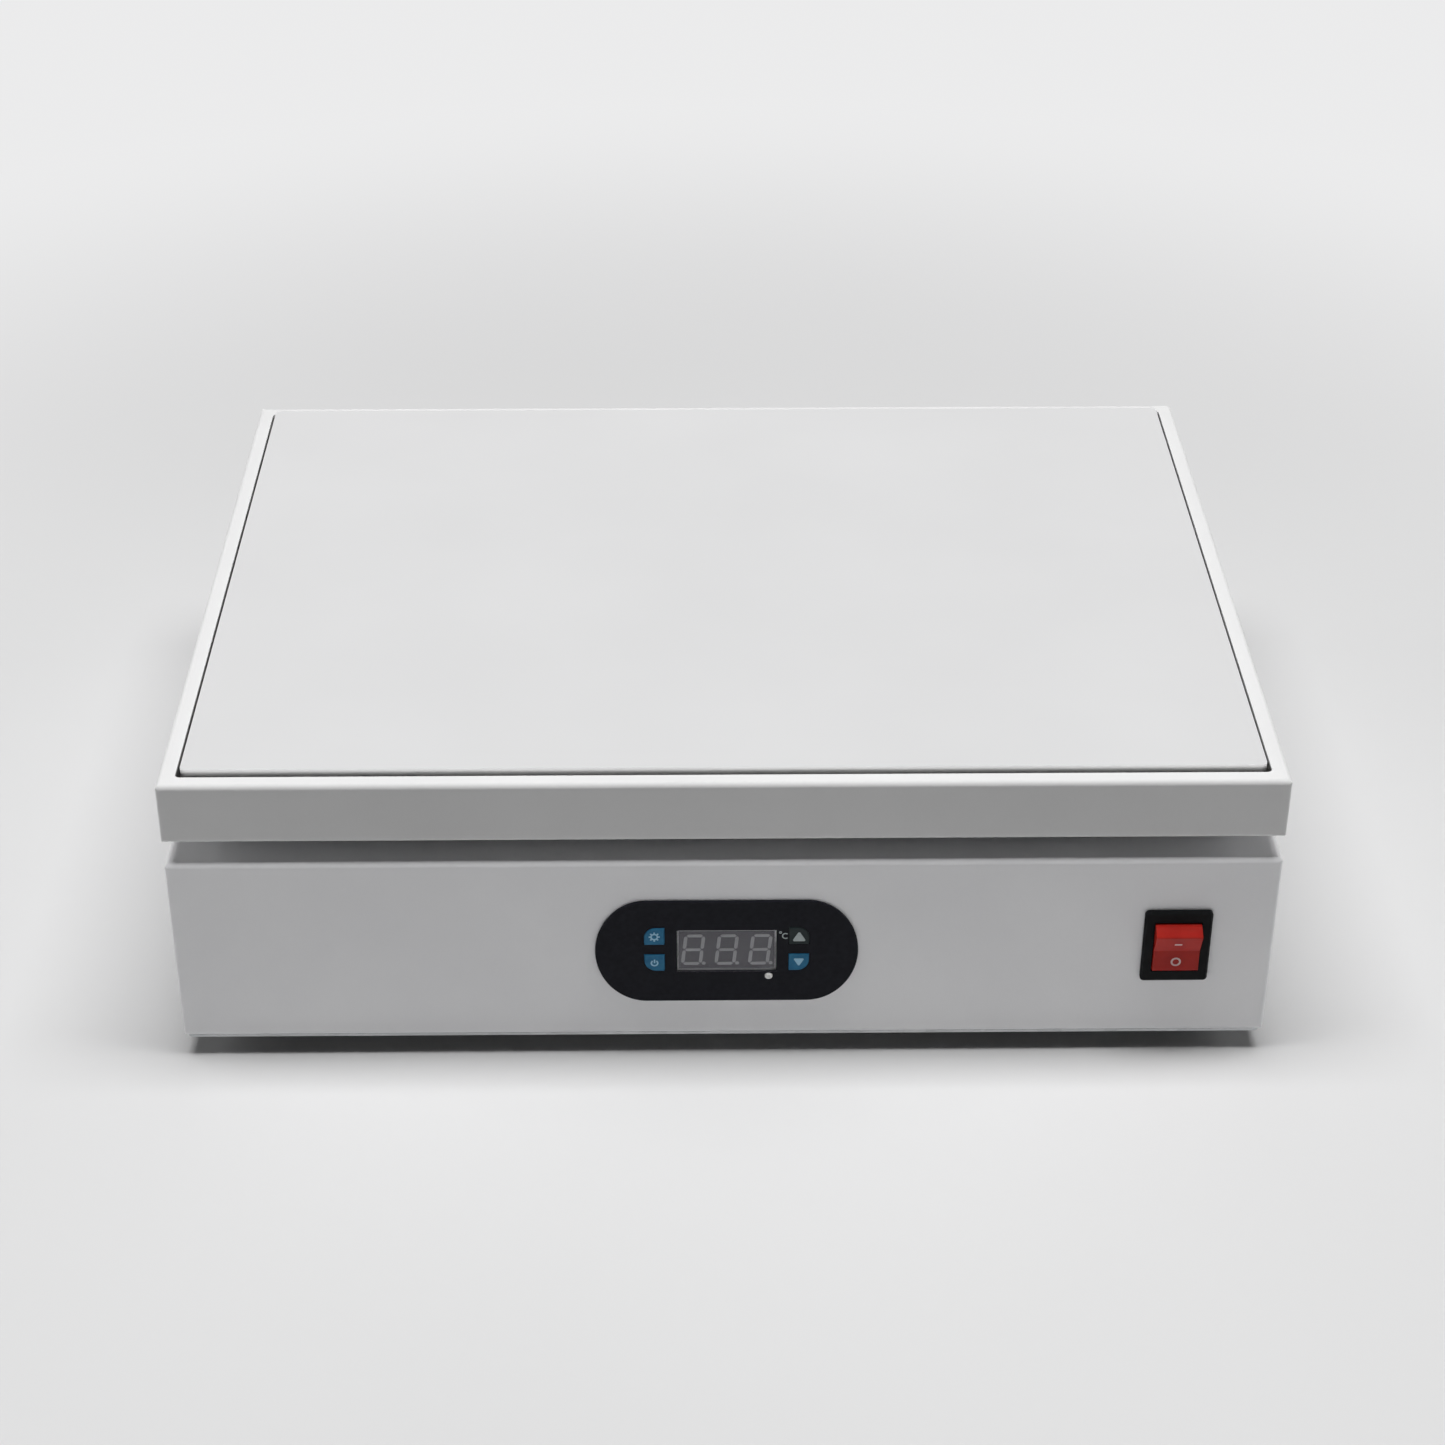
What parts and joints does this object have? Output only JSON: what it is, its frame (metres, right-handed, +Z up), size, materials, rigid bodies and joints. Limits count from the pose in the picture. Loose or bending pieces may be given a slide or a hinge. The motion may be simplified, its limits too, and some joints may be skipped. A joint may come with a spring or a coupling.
{
  "type": "heating plate",
  "caption": "Open heating table for circuit boards: an aluminium plate let into a painted tray, carried over an air gap by a control case with a digital controller and a rocker switch.",
  "frame": {"origin": "on the bench under the middle of the case", "axes": "+Z up, front at -Y, +X to the right seen from the front"},
  "size_m": [0.4162, 0.326, 0.1265],
  "materials": {
    "white_paint": "satin powder coat",
    "zinc_steel": "zinc-plated",
    "ground_aluminium": "fine ground",
    "foot_rubber": "matt",
    "fibre_board": "pressed mineral fibre",
    "ceramic_white": "unglazed",
    "bare_copper": "tinned and plain",
    "black_panel": "fine satin",
    "clear_window": "clear",
    "display_grey": "moulded",
    "display_dark": "filled",
    "segment_grey": "unlit",
    "board_green": "solder mask",
    "key_blue": "satin",
    "key_grey": "satin",
    "switch_black": "satin",
    "rocker_red": "gloss, tinted",
    "lamp_clear": "clear lens",
    "connector_white": "moulded",
    "core_steel": "laminated",
    "fuse_glass": "clear",
    "wire_sleeve": "sleeved"
  },
  "bodies": {
    "table": {"base_plate": "zinc_steel", "bus_bars": "bare_copper", "case_shell": "white_paint", "clamp_bars": "zinc_steel", "control_board": "board_green", "control_connector": "connector_white", "control_faceplate": "black_panel", "control_wires": "wire_sleeve", "display_face": "display_dark", "display_housing": "display_grey", "display_segments": "segment_grey", "display_window": "clear_window", "earth_stud": "bare_copper", "earth_wire": "wire_sleeve", "fuse_clips": "bare_copper", "heater_rods": "zinc_steel", "heater_tabs": "bare_copper", "heater_wires": "wire_sleeve", "heating_plate": "ground_aluminium", "indicator_lamp": "lamp_clear", "inlet_housing": "switch_black", "inlet_pins": "bare_copper", "insulation_board": "fibre_board", "mains_fuse": "fuse_glass", "mains_wires": "wire_sleeve", "panel_clips": "switch_black", "plate_posts": "zinc_steel", "power_board": "board_green", "power_posts": "bare_copper", "relay_tabs": "bare_copper", "rubber_feet": "foot_rubber", "sensor_lead": "wire_sleeve", "solid_state_relay": "switch_black", "switch_blades": "bare_copper", "switch_housing": "switch_black", "tact_switches": "switch_black", "temperature_sensor": "zinc_steel", "terminal_block": "connector_white", "transformer_bobbin": "connector_white", "transformer_core": "core_steel", "tray_floor": "zinc_steel", "tray_frame": "white_paint", "tray_spacers": "zinc_steel", "wire_bush": "ceramic_white"},
    "rocker": {"rocker": "rocker_red"},
    "upper_left_key": {"upper_left_key": "key_blue"},
    "lower_left_key": {"lower_left_key": "key_blue"},
    "up_key": {"up_key": "key_grey"},
    "down_key": {"down_key": "key_blue"}
  },
  "joints": [
    {"name": "rocker_tip", "type": "hinge", "parent": "table", "child": "rocker", "pos_m": [0.1712, -0.1571, 0.0504], "axis": [-1, 0, 0], "range_deg": [0, 24]},
    {"name": "upper_left_key_press", "type": "slide", "parent": "table", "child": "upper_left_key", "axis": [0, 1, 0], "range_m": [0, 0.0004], "stiffness_N_per_m": 1500},
    {"name": "lower_left_key_press", "type": "slide", "parent": "table", "child": "lower_left_key", "axis": [0, 1, 0], "range_m": [0, 0.0004], "stiffness_N_per_m": 1500},
    {"name": "up_key_press", "type": "slide", "parent": "table", "child": "up_key", "axis": [0, 1, 0], "range_m": [0, 0.0004], "stiffness_N_per_m": 1500},
    {"name": "down_key_press", "type": "slide", "parent": "table", "child": "down_key", "axis": [0, 1, 0], "range_m": [0, 0.0004], "stiffness_N_per_m": 1500}
  ]
}
